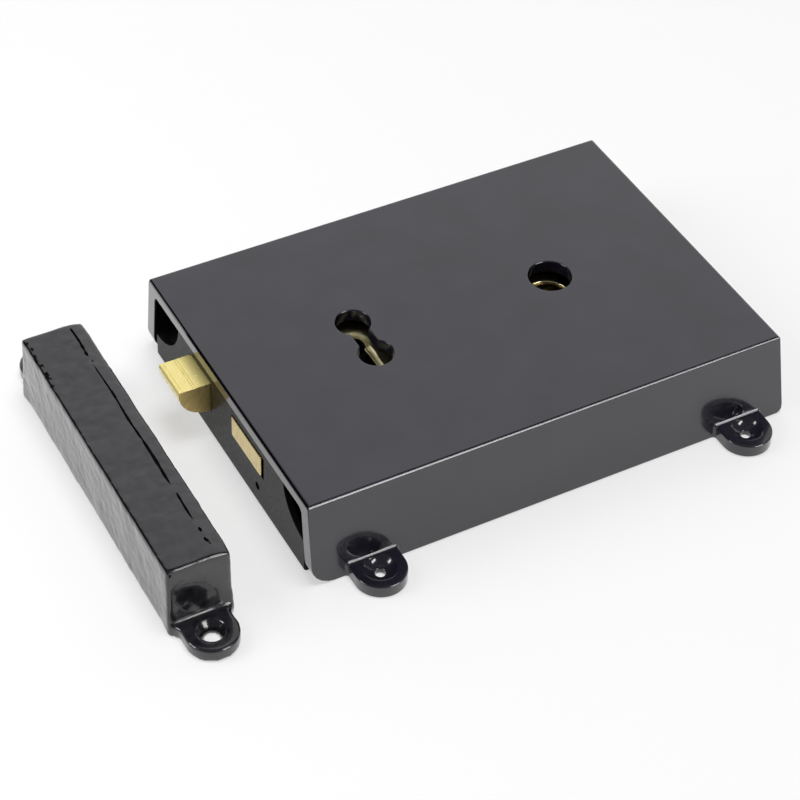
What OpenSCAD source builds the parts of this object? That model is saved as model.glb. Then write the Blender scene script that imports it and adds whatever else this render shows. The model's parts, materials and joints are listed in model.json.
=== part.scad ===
// Rim box lock with its separate box keep, lying on the door side of its case.
// X runs along the lock from the forend to the rear, Y across it and Z away from the door.
// Lengths along X are measured from the forend end of the case, which is set in the frame at the end.

/* [Case] */
// Length of the flat front face
case_length = 152; // [137:1:170]
// Width of the flat front face, across the lock
case_width = 103; // [92:1:120]
// Depth from the door to the front face
case_depth = 28; // [25.5:0.5:34]
// How far each long side leans out from the front face to the door
side_draft = 3.6; // [2.5:0.1:5]
// How far the rear end leans out from the front face to the door
rear_draft = 3; // [1:0.1:5]
// Thickness of the side and rear walls
case_wall = 4.5; // [3:0.1:4.6]
// Thickness of the front face
face_thickness = 4; // [2.5:0.1:4.2]
// Rounding along the outer edges of the front face
edge_radius = 1; // [0.4:0.1:2]
// Rounding of the door-side corners at the forend end
toe_radius = 6.5; // [2:0.5:8]
// Rounding of the door-side corners at the rear end
heel_radius = 2; // [0.5:0.5:4]
// Radius of the spindle hole in the front face
spindle_hole_r = 6.5; // [5.5:0.1:8]
// Radius of the round ends of the keyhole in the front face
keyhole_r = 5.2; // [4:0.1:6]
// Width of the keyhole between its round ends
keyhole_neck = 5.8; // [5.4:0.1:7]
// Distance between the centres of the keyhole's round ends
keyhole_span = 14.2; // [13:0.1:16]
// Radius of the four posts that take the case screws
post_r = 4.5; // [3.5:0.1:5]

/* [Fixing lugs] */
// Radius of the round end of a lug
lug_r = 7.6; // [6.5:0.1:9]
// Thickness of a lug
lug_thickness = 4; // [3:0.1:6]
// Distance from the foot of the case to the screw hole in a lug
lug_reach = 4.5; // [3.5:0.1:7]
// Distance from the forend end to the front pair of lugs
lug_front = 18.2; // [15:0.1:24]
// Distance from the rear edge of the front face to the rear pair of lugs
lug_rear = 13.5; // [10:0.1:20]
// Radius of the screw hole in a case lug
lug_hole_r = 1.5; // [1.3:0.1:2.6]
// Radius of the countersink in a case lug
lug_sink_r = 4.8; // [4:0.1:5.6]
// Depth of the countersink in a lug
lug_sink_depth = 2.4; // [1.5:0.1:2.8]

/* [Chassis] */
// Thickness of the bent steel chassis
plate = 2; // [1.6:0.1:2.4]
// How far the forend stands back from the end of the case
forend_setback = 0.5; // [0:0.1:1.5]
// Gap between the chassis and the side walls of the case at half its depth
chassis_side_gap = 0.2; // [0.1:0.1:1.5]
// Gap between the chassis and the rear wall of the case
chassis_gap = 3; // [1:0.5:6]
// Outer radius of the bend under the forend
bend_r = 1.2; // [0.4:0.1:1.8]
// Radius of the round notch in the forend's far upper corner
notch_far_r = 16.5; // [12:0.5:18]
// Radius of the round notch in the forend's near upper corner
notch_near_r = 13; // [10:0.5:18]
// Height of the middle of both notches above the top of the forend
notch_rise = 1.3; // [0.5:0.1:2.5]
// Radius of the small hole below the dead bolt
pin_hole_r = 1.2; // [0.8:0.1:2]
// Radius of a case screw
case_screw_r = 1.9; // [1.5:0.1:2.2]
// Radius of a case screw's countersunk head
case_screw_head_r = 3.8; // [3.2:0.1:4.4]
// Length of a case screw
case_screw_length = 12; // [8:0.5:16]

/* [Spindle and follower] */
// Distance from the forend end of a case of the usual length to the spindle
spindle_place = 106; // [104:0.5:108]
// Distance from the middle of the case to the spindle
spindle_y = 0.8; // [-1:0.1:2]
// Side of the square spindle hole
spindle_square = 8; // [7:0.1:8.5]
// Radius of the follower's hub
hub_r = 10; // [9:0.1:10.5]
// Radius of the follower's two bearings
journal_r = 6.9; // [6.4:0.1:7.6]
// Radius of the rounded tip of a follower horn
horn_tip_r = 3; // [2.4:0.1:3.4]
// Angle the follower turns to each side of square
half_swing = 20; // [16:1:24]

/* [Latch bolt] */
// Distance from the middle of the case to the middle of the latch bolt
latch_y = 17.5; // [16.5:0.1:19]
// Width of the latch bolt
latch_width = 13.6; // [12:0.1:14]
// Height of the latch bolt
latch_height = 10.5; // [9.5:0.1:11]
// How far the latch bolt stands out of the forend
latch_throw = 9.8; // [9:0.1:11]
// How far the latch bolt is drawn back by the follower
latch_travel = 9.6; // [8:0.1:9.6]
// Distance from the forend end of the case to the back of the latch bolt's head
latch_back = 24; // [22:0.5:26]
// Rounding of the latch bolt's nose
nose_r = 0.8; // [0.4:0.1:1.2]
// Depth of the fine lines across the latch bolt
line_depth = 0.2; // [0.1:0.05:0.4]
// Thickness of the latch tail
tail = 2.4; // [2:0.1:2.8]
// Width of the latch tail
tail_width = 11; // [9:0.5:11.5]
// Space between the chassis and the latch tail
tail_gap = 5.4; // [4.5:0.1:6]
// Radius of a latch rivet
latch_rivet_r = 2; // [1.5:0.1:2.5]

/* [Latch spring] */
// Distance from the rear edge of the front face to the spring's stop
stop_inset = 19; // [18.5:0.5:22]
// Radius of the spring at the middle of its wire
spring_r = 3.6; // [3.2:0.1:4.5]
// Diameter of the spring wire
wire = 0.9; // [0.6:0.1:1]
// Number of turns
spring_turns = 8; // [6:1:10]
// Radius of the rod that carries the spring
rod_r = 2; // [1.5:0.1:2.3]

/* [Dead bolt] */
// Distance from the middle of the case to the middle of the dead bolt
dead_y = -13.1; // [-13.5:0.1:-12.6]
// Width of the dead bolt
dead_width = 18.6; // [17.5:0.1:19.5]
// Height of the dead bolt's head
dead_height = 7.2; // [6.5:0.1:7.4]
// Thickness of the dead bolt's tail
dead_tail = 3; // [2.5:0.1:3.4]
// How far the withdrawn dead bolt stands out of the forend
dead_proud = 0.3; // [0:0.1:1]
// How far the key throws the dead bolt
dead_throw = 11; // [9:0.5:12]
// Distance from the forend end of the case to the back of the dead bolt's head
dead_back = 24; // [22:0.5:25]
// Gap left beside the dead bolt in its forend slot
dead_side_gap = 1.3; // [0.4:0.1:1.6]
// Distance from the forend end of a case of the usual length to the guide stud
guide_place = 31; // [30:0.2:31.4]
// Radius of the guide stud where it passes through the bolt
guide_r = 2.4; // [2:0.1:2.8]
// Radius of the stump that the levers hold
stump_r = 2.5; // [2:0.1:2.8]

/* [Key and levers] */
// Distance from the forend end of a case of the usual length to the key
key_place = 44.6; // [44:0.1:45.4]
// Distance from the middle of the case to the key
key_y = 8.3; // [8:0.1:8.6]
// Radius of the round end of the keyhole in the cover plate
key_r = 3.7; // [3.2:0.1:3.8]
// Width of the keyhole in the cover plate
key_slot = 5.2; // [4.6:0.1:5.4]
// Reach of the key's bit from the middle of its stem
bit_reach = 15.5; // [15:0.1:15.8]
// Distance from the forend end of a case of the usual length to the lever pivot
lever_place = 72; // [71.6:0.1:73]
// Thickness of a lever
lever = 1.2; // [0.8:0.1:1.4]
// Radius of the lever pivot
pivot_r = 2.5; // [2:0.1:3]
// Angle that the key lifts the levers
lever_lift = 6; // [4:0.5:7]
// Thickness of a lever's leaf spring
leaf = 0.5; // [0.3:0.1:0.7]

/* [Cover plate] */
// Thickness of the inner cover plate
cover = 1.5; // [1:0.1:1.8]
// Space between the dead bolt's tail and the cover plate
cover_gap = 2.2; // [1.9:0.1:2.8]
// Half the width of the cover plate
cover_half = 34; // [33:0.5:36]
// Radius of a pillar under the cover plate
pillar_r = 3.5; // [2.5:0.1:3.6]
// Radius of a cover screw
cover_screw_r = 1.4; // [1.1:0.1:1.8]

/* [Keep] */
// Width of the keep at its foot
keep_width = 19.7; // [19:0.1:26]
// Length of the keep at its foot
keep_length = 103; // [100:1:115]
// Distance from the middle of the case to the middle of the keep
keep_y = -1.5; // [-2:0.1:0]
// Gap between the keep and the end of the case
keep_gap = 22.2; // [18:0.1:40]
// Thickness of the keep's walls
keep_wall = 3; // [2:0.1:4]
// Thickness of the keep's top
keep_top = 2.5; // [2:0.1:4]
// How far the keep's ends lean in from its foot to its top
keep_draft = 1; // [0:0.1:2]
// Width of the sloping edge along the keep's mouth
keep_slope = 4.6; // [2:0.1:6]
// Drop of the sloping edge along the keep's mouth
keep_drop = 0.9; // [0.2:0.1:1.2]
// Distance from the keep's foot to the screw hole in its lug
keep_reach = 6.3; // [5:0.1:9]
// Radius of the screw hole in a keep lug
keep_hole_r = 2.4; // [2:0.1:3]
// Radius of the countersink in a keep lug
keep_sink_r = 4.6; // [4:0.1:6]

/* [Clearances] */
// Radial gap of a turning or pressed fit
fit = 0.05; // [0.02:0.01:0.1]
// Gap between pieces that slide past each other
slide_gap = 0.3; // [0.2:0.05:0.4]

/* [Hidden] */
$fn = 48;
black = "#1d1d20";
brass = "#c8a64b";
steel = "#8e9196";
through = 60;
arc_steps = 5;

// Places along a case that is longer or shorter than usual keep their share of its length
usual_length = 152;
stretch = case_length / usual_length;
spindle_x = spindle_place * stretch;
guide_x = guide_place * stretch;
key_x = key_place * stretch;
lever_x = lever_place * stretch;

// Heights of the stacked pieces above the door
tail_z = plate + tail_gap;
latch_z = tail_z + tail;
lever_2_z = latch_z + slide_gap;
lever_1_z = lever_2_z + lever + slide_gap;
dead_z = lever_1_z + lever + slide_gap;
dead_tail_top = dead_z + dead_tail;
cover_z = dead_tail_top + cover_gap;
cover_top = cover_z + cover;
latch_top = latch_z + latch_height;
dead_top = dead_z + dead_height;
bolt_top = max(latch_top, dead_top);
roof_z = case_depth - face_thickness;
forend_top = roof_z - slide_gap;
pin_hole_in = 2.8;
pin_hole_drop = 6.3;

// Places of the fasteners
lug_y = case_width / 2 + side_draft + lug_reach;
lug_x = [lug_front, case_length - lug_rear];
post_front = 20;
post_rear = 11;
post_side = 13.5;
post_x = [post_front, case_length - post_rear];
post_y = case_width / 2 - post_side;
screw_hole_depth = case_screw_length + 1;
chassis_half = case_width / 2 + side_draft / 2 - case_wall - chassis_side_gap;
tenon_r = 2;
tenon_base = 0.2;
guide_shoulder_r = 4;
end_play = 0.1;

// Latch: the follower's horn, the fork it draws and the spring seat
horn_r = latch_travel / (2 * sin(half_swing));
horn_z = latch_z + slide_gap + end_play;
horn_height = 6.8;
horn_neck = 0.6 * horn_tip_r;
fork_face = spindle_x - horn_r * sin(half_swing) + horn_tip_r + slide_gap;
fork_gap = 0.7;
fork_inner = hub_r + fork_gap;
fork_arm = 6;
fork_tab_top = horn_z + horn_height;
post_gap = 1;
bridge_start = lever_x + guide_shoulder_r + post_gap;
bridge_end = spindle_x - hub_r - latch_travel - fork_gap;
seat_offset = 6;
spring_seat = spindle_x + seat_offset;
spring_rise = 3.8;
spring_z = latch_z + spring_rise;
spring_start = spring_seat + tail;
stop_x = case_length - stop_inset;
spring_length = stop_x - spring_start;
stop_head = 4.4;
stop_top = spring_z + stop_head;
stop_width = 13;
stop_foot = 10;
rod_overrun = 1.2;
rod_end = stop_x + tail + rod_overrun;
stop_rivet_r = 1.5;
stop_rivet_spread = 4;
rivet_front = 14;
rivet_rear = 5;
rivet_depth = 5.5;
rivet_head = 1;

// Dead bolt: its tail, the talon that the key's bit turns in and the lever gate
dead_front = forend_setback - dead_proud;
dead_low = dead_y - dead_width / 2;
dead_high = dead_y + dead_width / 2;
bit_gap = 0.4;
tail_edge = key_y - bit_reach - 2 * bit_gap;
key_way_gap = 1.1;
key_way = key_slot + 2 * key_way_gap;
talon_left = key_x - key_way / 2;
talon_right = talon_left + key_way + dead_throw;
talon_horn = 4;
talon_depth = 8.8;
talon_top = key_y - talon_depth;
dead_tail_gap = 6;
dead_tail_end = spindle_x - hub_r - dead_tail_gap;
dead_tail_step = lever_x - guide_shoulder_r;
dead_tail_low = 6;
lever_eye_r = 6;
lever_low = 8.5;
lever_high = 11;
lever_neck = 14;
lever_shoulder = 12;
stump_from_pivot = [-10, -3.5];
pocket_r = stump_r + slide_gap;
gate_r = pocket_r + bit_gap;
lever_spring_seat = [-18, -15.5];
lever_spring_bend = [-10.5, -11.4];
lever_spring_root = [-4, -7.6];
lever_spring_pin_r = 1.6;

// Cover plate and its pillars
cover_corner = 4;
cover_front = latch_back + latch_travel + tail;
cover_rear = stop_x - post_gap;
pillar_inset = 6;
pillar_x = [cover_front + pillar_inset, cover_rear - pillar_inset];
pillar_y = cover_half - cover_corner;
cover_screw_head_r = cover_screw_r + 1.4;
cover_screw_head = 1.1;
cover_screw_depth = 7;

// Keep: its roof clears the bolts
keep_roof = bolt_top + 2 * slide_gap;
keep_height = keep_roof + keep_top;
keep_mouth = -keep_gap;
keep_hole_y = keep_length / 2 + keep_reach;
keep_hole_land = 1;
keep_middle = keep_mouth - keep_width / 2;
keep_shoulder = 3.5;
keep_edge_r = 1;
keep_side_lean = 0.5;

// The frame's origin stands under the middle of the whole set
rear_end = case_length + rear_draft;
heel_half = (90 - atan(rear_draft / case_depth)) / 2;
rear_foot = rear_end - heel_radius * (1 / tan(heel_half) - 1);
keep_end = keep_mouth - keep_width;
origin_x = (rear_foot + keep_end) / 2;

echo(origin_x = origin_x, lug_y = lug_y, cover_top = cover_top, bolt_top = bolt_top);
echo(keep_height = keep_height, horn_r = horn_r, keep_hole_y = keep_hole_y, forend_top = forend_top);

// Half the width of the case, and its rear end, at a height above the door
function side_at(z) = case_width / 2 + side_draft * (1 - z / case_depth);
function rear_at(z) = case_length + rear_draft * (1 - z / case_depth);

function unit(v) = v / norm(v);

// Points of an arc that rounds the corner between two directions
function round_corner(corner, u, v, r) =
  let (
    half = acos(u * v) / 2,
    centre = corner + unit(u + v) * r / sin(half),
    a = corner + u * r / tan(half) - centre,
    b = corner + v * r / tan(half) - centre,
    start = atan2(a[1], a[0]),
    turn = (atan2(b[1], b[0]) - start + 540) % 360 - 180
  )
  [for (k = [0 : arc_steps]) centre + r * [cos(start + turn * k / arc_steps), sin(start + turn * k / arc_steps)]];

function flat(p) = [p[0], p[1]];

// Outline through corners given as [x, y, radius]
function rounded(corners) =
  let (count = len(corners))
  [for (i = [0 : count - 1])
    let (
      here = flat(corners[i]),
      before = flat(corners[(i + count - 1) % count]),
      after = flat(corners[(i + 1) % count]),
      r = corners[i][2]
    )
    each (r == 0 ? [here] : round_corner(here, unit(before - here), unit(after - here), r))];

// Turns a point of the resting lock into the frame of a lifted lever
function lifted(p) =
  [p[0] * cos(lever_lift) + p[1] * sin(lever_lift), p[1] * cos(lever_lift) - p[0] * sin(lever_lift)];

module in_frame() {
  translate([-origin_x, 0, 0])
    children();
}

// Extrudes an outline drawn in X and Z across the lock, about a middle line
module across(width, middle = 0) {
  translate([0, middle, 0])
    rotate([90, 0, 0])
      linear_extrude(height = width, center = true)
        children();
}

// Extrudes an outline drawn in Y and Z along the lock
module along(from, to) {
  translate([from, 0, 0])
    rotate([90, 0, 90])
      linear_extrude(height = to - from)
        children();
}

// A block given by its lowest and highest corners
module block(low, high) {
  translate(low)
    cube(high - low);
}

// A straight slot or bar with round ends between two points
module bar(a, b, r) {
  end = r * unit(b - a);
  side = [-end[1], end[0]];
  end_r = 0.98 * r;
  polygon(rounded([
    for (p = [a - end - side, b + end - side, b + end + side, a - end + side]) [p[0], p[1], end_r]
  ]));
}

// Keyhole outline: a round head, a straight slot and, where wanted, a round foot
module keyhole(head_r, slot, length, foot_r) {
  translate([key_x, key_y]) {
    circle(head_r);
    translate([-slot / 2, -length])
      square([slot, length]);
    translate([0, -length])
      circle(foot_r);
  }
}

// Screw hole with a conical sink, cut down from a face
module sunk_hole(top, hole_r, sink_r, depth) {
  translate([0, 0, -1])
    cylinder(r = hole_r, h = top + 2);
  translate([0, 0, top - depth])
    cylinder(r1 = hole_r, r2 = sink_r, h = depth);
  translate([0, 0, top])
    cylinder(r = sink_r, h = 1);
}

// The case
module case_outside() {
  intersection() {
    across(2 * lug_y)
      polygon(rounded([
        [0, 0, toe_radius],
        [rear_end, 0, heel_radius],
        [case_length, case_depth, edge_radius],
        [0, case_depth, edge_radius]
      ]));
    along(-1, rear_end + 1)
      polygon(rounded([
        [-side_at(0), 0, 0],
        [side_at(0), 0, 0],
        [case_width / 2, case_depth, edge_radius],
        [-case_width / 2, case_depth, edge_radius]
      ]));
  }
}

module case_inside() {
  intersection() {
    across(2 * lug_y)
      polygon([
        [-1, -1],
        [rear_at(-1) - case_wall, -1],
        [rear_at(roof_z) - case_wall, roof_z],
        [-1, roof_z]
      ]);
    along(-2, rear_end)
      polygon(rounded([
        [-side_at(-1) + case_wall, -1, 0],
        [side_at(-1) - case_wall, -1, 0],
        [side_at(roof_z) - case_wall, roof_z, 2],
        [-side_at(roof_z) + case_wall, roof_z, 2]
      ]));
  }
}

module case_lug() {
  root = side_at(lug_thickness) - case_wall / 2;
  linear_extrude(height = lug_thickness) {
    translate([0, lug_y])
      circle(lug_r);
    translate([-lug_r, root])
      square([2 * lug_r, lug_y - root]);
  }
}

module case() {
  color(black) in_frame() difference() {
    union() {
      difference() {
        case_outside();
        case_inside();
      }
      for (x = post_x, side = [-1, 1])
        translate([x, side * post_y, plate])
          cylinder(r = post_r, h = roof_z - plate + 1);
      for (x = lug_x) {
        translate([x, 0, 0])
          case_lug();
        translate([x, 0, 0])
          mirror([0, 1, 0])
            case_lug();
      }
    }
    translate([spindle_x, spindle_y, roof_z - 1])
      cylinder(r = spindle_hole_r, h = face_thickness + 2);
    translate([0, 0, roof_z - 1])
      linear_extrude(height = face_thickness + 2)
        keyhole(keyhole_r, keyhole_neck, keyhole_span, keyhole_r);
    for (x = lug_x, side = [-1, 1])
      translate([x, side * lug_y, 0])
        sunk_hole(lug_thickness, lug_hole_r, lug_sink_r, lug_sink_depth);
    for (x = post_x, side = [-1, 1])
      translate([x, side * post_y, plate - 1])
        cylinder(r = case_screw_r + fit, h = screw_hole_depth);
  }
}

// The chassis: a back plate with the forend bent up at its front edge
module chassis() {
  chassis_end = case_length - case_wall - chassis_gap + rear_draft;
  color(black) in_frame() difference() {
    across(2 * chassis_half)
      polygon(rounded([
        [forend_setback, 0, bend_r],
        [chassis_end, 0, 0],
        [chassis_end, plate, 0],
        [forend_setback + plate, plate, 0],
        [forend_setback + plate, forend_top, 0],
        [forend_setback, forend_top, 0]
      ]));
    forend_cuts();
    translate([0, 0, -1])
      linear_extrude(height = plate + 2)
        keyhole(key_r, key_slot, bit_reach, key_slot / 2);
    translate([spindle_x, spindle_y, -1])
      cylinder(r = journal_r + fit, h = plate + 2);
    for (x = post_x, side = [-1, 1])
      translate([x, side * post_y, plate])
        mirror([0, 0, 1])
          sunk_hole(plate, case_screw_r + fit, case_screw_head_r + fit, plate);
    for (p = stud_places())
      translate([p[0], p[1], -1])
        cylinder(r = tenon_r + fit, h = plate + 2);
    for (side = [-1, 1])
      translate([stop_x - stop_foot / 2, latch_y + side * stop_rivet_spread, -1])
        cylinder(r = stop_rivet_r + fit, h = plate + 2);
  }
}

module forend_cuts() {
  front = forend_setback - 1;
  back = forend_setback + plate + 1;
  notch_z = forend_top + notch_rise;
  for (notch = [[chassis_half, notch_far_r], [-chassis_half, notch_near_r]])
    translate([front, notch[0], notch_z])
      rotate([0, 90, 0])
        cylinder(r = notch[1], h = back - front);
  block([front, latch_y - latch_width / 2 - slide_gap, latch_z - slide_gap],
    [back, latch_y + latch_width / 2 + slide_gap, latch_top + slide_gap]);
  block([front, dead_low - dead_side_gap, dead_z - slide_gap],
    [back, dead_high + slide_gap, dead_top + slide_gap]);
  translate([front, dead_low + pin_hole_in, dead_z - pin_hole_drop])
    rotate([0, 90, 0])
      cylinder(r = pin_hole_r, h = back - front);
}

// Places of the studs riveted into the chassis
function stud_places() = concat(
  [for (x = pillar_x, side = [-1, 1]) [x, side * pillar_y]],
  [[guide_x, dead_y], [lever_x, dead_y], [lever_x, dead_y] + lever_spring_seat]
);

module case_screws() {
  color(steel) in_frame() for (x = post_x, side = [-1, 1])
    translate([x, side * post_y, 0])
      difference() {
        union() {
          cylinder(r1 = case_screw_head_r, r2 = case_screw_r, h = plate);
          cylinder(r = case_screw_r, h = case_screw_length);
        }
        block([-case_screw_head_r, -0.5, -1], [case_screw_head_r, 0.5, 0.8]);
      }
}

// The inner cover plate over the works, with the key's own keyhole
module cover_plate() {
  color(brass) in_frame() difference() {
    translate([0, 0, cover_z])
      linear_extrude(height = cover)
        polygon(rounded([
          [cover_front, -cover_half, cover_corner],
          [cover_rear, -cover_half, cover_corner],
          [cover_rear, cover_half, cover_corner],
          [cover_front, cover_half, cover_corner]
        ]));
    translate([0, 0, cover_z - 1])
      linear_extrude(height = cover + 2)
        keyhole(key_r, key_slot, bit_reach, key_slot / 2);
    translate([spindle_x, spindle_y, cover_z - 1])
      cylinder(r = journal_r + fit, h = cover + 2);
    for (x = pillar_x, side = [-1, 1])
      translate([x, side * pillar_y, cover_z - 1])
        cylinder(r = cover_screw_r + fit, h = cover + 2);
  }
}

// A stud riveted through the chassis
module stud(r, top) {
  translate([0, 0, plate])
    cylinder(r = r, h = top - plate);
  translate([0, 0, tenon_base])
    cylinder(r = tenon_r, h = plate);
}

module cover_pillars() {
  color(steel) in_frame() for (x = pillar_x, side = [-1, 1])
    translate([x, side * pillar_y, 0])
      difference() {
        stud(pillar_r, cover_z);
        translate([0, 0, cover_z - cover_screw_depth])
          cylinder(r = cover_screw_r + fit, h = cover_screw_depth + 1);
      }
}

module cover_screws() {
  color(steel) in_frame() for (x = pillar_x, side = [-1, 1])
    translate([x, side * pillar_y, cover_top])
      difference() {
        union() {
          cylinder(r = cover_screw_head_r, h = cover_screw_head);
          translate([0, 0, 1 - cover - cover_screw_depth])
            cylinder(r = cover_screw_r, h = cover + cover_screw_depth);
        }
        block([-cover_screw_head_r - 1, -0.4, cover_screw_head / 2],
          [cover_screw_head_r + 1, 0.4, cover_screw_head + 1]);
      }
}

// The latch bolt's head, bevelled on the door side with a round sweep
module latch_bolt() {
  nose = forend_setback - latch_throw;
  sweep = latch_throw - 2 * end_play;
  face = latch_top - (latch_height - sweep);
  lines = [nose + 1.2, nose + 4.6, nose + 5.3];
  color(brass) in_frame() difference() {
    across(latch_width, latch_y)
      polygon(concat(
        round_corner([nose, latch_top], [0, -1], [1, 0], nose_r),
        [[latch_back, latch_top], [latch_back, latch_z]],
        [for (k = [0 : 12]) [nose + sweep, face] - sweep * [sin(90 * k / 12), cos(90 * k / 12)]]
      ));
    for (x = lines)
      block([x, latch_y - latch_width, latch_top - line_depth],
        [x + line_depth, latch_y + latch_width, latch_top + 1]);
    for (p = latch_rivet_places())
      translate([p[0], p[1], latch_z - 1])
        cylinder(r = latch_rivet_r + fit, h = rivet_depth + 1.5);
  }
}

function latch_rivet_places() = [[latch_back - rivet_front, latch_y], [latch_back - rivet_rear, latch_y]];

// The steel tail: a strip under the head, a fork round the follower and an upright spring seat
module latch_tail() {
  tail_low = latch_y - tail_width / 2;
  tail_high = latch_y + tail_width / 2;
  fork_low = spindle_y - fork_inner - fork_arm;
  tail_front = forend_setback + plate + slide_gap;
  color(steel) in_frame() difference() {
    union() {
      block([tail_front, tail_low, tail_z], [bridge_end, tail_high, latch_z]);
      block([bridge_start, fork_low, tail_z], [bridge_end, tail_high, latch_z]);
      block([bridge_start, spindle_y + fork_inner, tail_z], [spring_start, tail_high, latch_z]);
      block([bridge_start, fork_low, tail_z],
        [fork_face + tail, spindle_y - fork_inner, latch_z]);
      for (low = [fork_low, spindle_y + fork_inner])
        block([fork_face, low, tail_z], [fork_face + tail, low + fork_arm, fork_tab_top]);
      block([spring_seat, tail_low, tail_z], [spring_start, tail_high, stop_top]);
    }
    for (p = latch_rivet_places())
      translate([p[0], p[1], tail_z - 1])
        cylinder(r = latch_rivet_r + fit, h = tail + 2);
    rod_path(spring_seat - 1, spring_start + 1, rod_r + fit);
  }
}

module latch_rivets() {
  color(steel) in_frame() for (p = latch_rivet_places())
    translate([p[0], p[1], tail_z]) {
      cylinder(r = latch_rivet_r, h = tail + rivet_depth);
      translate([0, 0, -rivet_head])
        cylinder(r = 1.6 * latch_rivet_r, h = rivet_head);
    }
}

// A round bar on the spring's own line
module rod_path(from, to, r) {
  translate([from, latch_y, spring_z])
    rotate([0, 90, 0])
      cylinder(r = r, h = to - from);
}

module spring_rod() {
  color(steel) in_frame() rod_path(spring_seat, rod_end, rod_r);
}

// The upright plate that the spring pushes against, with a foot riveted to the chassis
module spring_stop() {
  low = latch_y - stop_width / 2;
  high = latch_y + stop_width / 2;
  color(steel) in_frame() difference() {
    union() {
      block([stop_x, low, plate], [stop_x + tail, high, stop_top]);
      block([stop_x - stop_foot, low, plate], [stop_x + tail, high, plate + tail]);
    }
    rod_path(stop_x - 1, stop_x + tail + 1, rod_r + slide_gap);
    for (side = [-1, 1])
      translate([stop_x - stop_foot / 2, latch_y + side * stop_rivet_spread, plate - 1])
        cylinder(r = stop_rivet_r + fit, h = tail + 2);
  }
}

module spring_stop_rivets() {
  color(steel) in_frame() for (side = [-1, 1])
    translate([stop_x - stop_foot / 2, latch_y + side * stop_rivet_spread, tenon_base]) {
      cylinder(r = stop_rivet_r, h = plate + tail - tenon_base);
      translate([0, 0, plate + tail - tenon_base])
        cylinder(r = stop_rivet_r + 1, h = 0.9);
    }
}

// The compression spring: one tube of six sides along a helix, eight rings to a turn
rings_per_turn = 8;
wire_sides = 6;
ring_count = spring_turns * rings_per_turn + 1;
helix_start = spring_start + wire / 2 + 0.05;
helix_length = spring_length - wire - 0.1;
function helix_point(i) =
  let (a = 360 * i / rings_per_turn)
  [helix_start + helix_length * i / (ring_count - 1), latch_y + spring_r * cos(a), spring_z + spring_r * sin(a)];
function helix_ring(i) =
  let (
    a = 360 * i / rings_per_turn,
    outward = [0, cos(a), sin(a)],
    rise = helix_length / spring_turns / 360,
    ahead = unit([rise, -spring_r * sin(a) * PI / 180, spring_r * cos(a) * PI / 180]),
    beside = cross(ahead, outward)
  )
  [for (k = [0 : wire_sides - 1])
    helix_point(i) + wire / 2 * (outward * cos(360 * k / wire_sides) + beside * sin(360 * k / wire_sides))];
helix_gaps = [for (i = [0 : ring_count - 1 - rings_per_turn])
  norm(helix_point(i + rings_per_turn) - helix_point(i)) - wire];
echo(least_spring_gap = min(helix_gaps));

module latch_spring() {
  last = (ring_count - 1) * wire_sides;
  color(steel) in_frame() polyhedron(
    points = [for (i = [0 : ring_count - 1]) each helix_ring(i)],
    faces = concat(
      [for (k = [1 : wire_sides - 2]) [0, k, k + 1]],
      [for (k = [1 : wire_sides - 2]) [last, last + k + 1, last + k]],
      [for (i = [0 : ring_count - 2], k = [0 : wire_sides - 1], half = [0, 1])
        let (
          a = i * wire_sides + k,
          b = i * wire_sides + (k + 1) % wire_sides
        )
        half == 0 ? [a, a + wire_sides, b] : [b, a + wire_sides, b + wire_sides]]
    )
  );
}

// A horn of the follower: a narrow neck with a round tip
module horn(side) {
  reach = horn_r * [-sin(half_swing), side * cos(half_swing)];
  bar([0, 0], reach, horn_neck);
  translate(reach)
    circle(horn_tip_r);
}

// The brass follower: a hub with a square hole, two bearings and two horns leaning to the forend
module follower() {
  hub_low = plate + 2 * end_play;
  hub_high = cover_z - 2 * end_play;
  bearing_low = 4 * end_play;
  bearing_high = cover_top - 6 * end_play;
  color(brass) in_frame() translate([spindle_x, spindle_y, 0]) difference() {
    union() {
      translate([0, 0, hub_low])
        cylinder(r = hub_r, h = hub_high - hub_low);
      translate([0, 0, bearing_low])
        cylinder(r = journal_r, h = bearing_high - bearing_low);
      for (side = [-1, 1])
        translate([0, 0, horn_z])
          linear_extrude(height = horn_height)
            horn(side);
    }
    translate([0, 0, through / 2 - 1])
      cube([spindle_square, spindle_square, through], center = true);
  }
}

// The dead bolt: a thick head, and a thin tail with two horns for the key's bit to push
module dead_bolt() {
  tail_low = dead_low + 1;
  color(brass) in_frame() difference() {
    union() {
      along(dead_front, dead_back)
        polygon(rounded([
          [dead_low, dead_z, 0.8],
          [dead_high, dead_z, 0.8],
          [dead_high, dead_top, 0.5],
          [dead_low, dead_top, 0.5]
        ]));
      translate([0, 0, dead_z])
        linear_extrude(height = dead_tail)
          polygon(rounded([
            [dead_back - 2, tail_low, 0],
            [dead_tail_step, tail_low, 3],
            [dead_tail_end, dead_y - dead_tail_low, 2],
            [dead_tail_end, tail_edge - 1, 2],
            [talon_right + talon_horn, tail_edge - 1, 0],
            [talon_right + talon_horn, talon_top, 1],
            [talon_right, talon_top, 1],
            [talon_right, tail_edge, 0.5],
            [talon_left, tail_edge, 0.5],
            [talon_left, talon_top, 1],
            [talon_left - talon_horn, talon_top, 1],
            [talon_left - talon_horn, tail_edge, 0.5],
            [dead_back - 2, tail_edge, 0]
          ]));
    }
    translate([0, 0, dead_z - 1])
      linear_extrude(height = dead_tail + 2)
        bar([guide_x, dead_y], [guide_x + dead_throw, dead_y], guide_r + slide_gap);
    translate([lever_x, dead_y, dead_z - 1])
      translate(stump_from_pivot)
        cylinder(r = stump_r + fit, h = dead_tail + 2);
  }
}

module dead_bolt_stump() {
  color(steel) in_frame() translate([lever_x, dead_y, lever_2_z])
    translate(stump_from_pivot)
      cylinder(r = stump_r, h = dead_tail_top - lever_2_z);
}

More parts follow.
